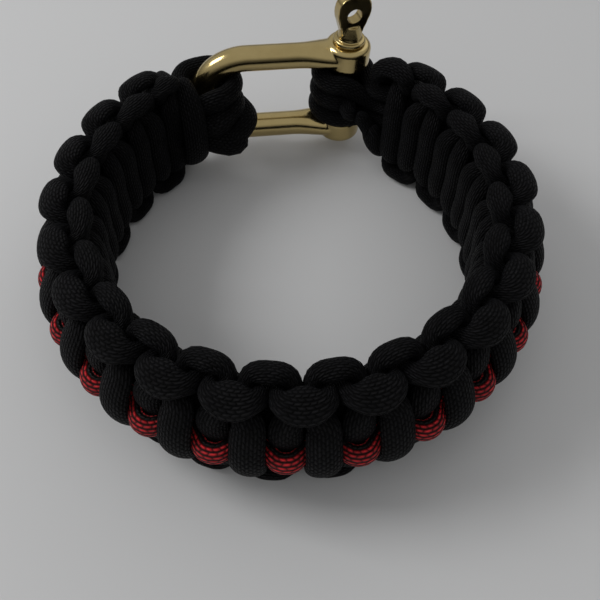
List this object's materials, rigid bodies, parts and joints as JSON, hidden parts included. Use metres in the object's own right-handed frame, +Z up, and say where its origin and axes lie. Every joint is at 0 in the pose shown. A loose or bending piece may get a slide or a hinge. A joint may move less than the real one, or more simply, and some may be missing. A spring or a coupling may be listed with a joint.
{
  "type": "paracord bracelet",
  "caption": "Flat knotted cord bracelet standing as a ring, with a contrasting centre cord and a D-shaped bow shackle closed by a removable screw pin.",
  "frame": {"origin": "on the ring's axis, at the height of the band's lower edge, on which the bracelet stands", "axes": "+Z up along the ring's axis, +Y from the front of the band to the shackle, +X to the right seen from the front"},
  "size_m": [0.092, 0.0909, 0.0388],
  "materials": {
    "core_cord": "braided nylon sheath, black, matt",
    "weave_cord": "braided nylon sheath, black, slight sheen",
    "centre_cord": "braided nylon sheath, red strands in black",
    "shackle_metal": "gold coloured, polished",
    "pin_metal": "gold coloured, polished, slightly worn"
  },
  "bodies": {
    "bracelet": {"upper_core": "core_cord", "lower_core": "core_cord", "front_cord": "weave_cord", "back_cord": "weave_cord", "centre_cord": "centre_cord", "shackle_bow": "shackle_metal"},
    "pin": {"shackle_pin": "pin_metal"}
  },
  "joints": [
    {"name": "pin_slide", "type": "slide", "parent": "bracelet", "child": "pin", "axis": [0.0528, 0.0054, 0.9986], "range_m": [0, 0.024]}
  ]
}
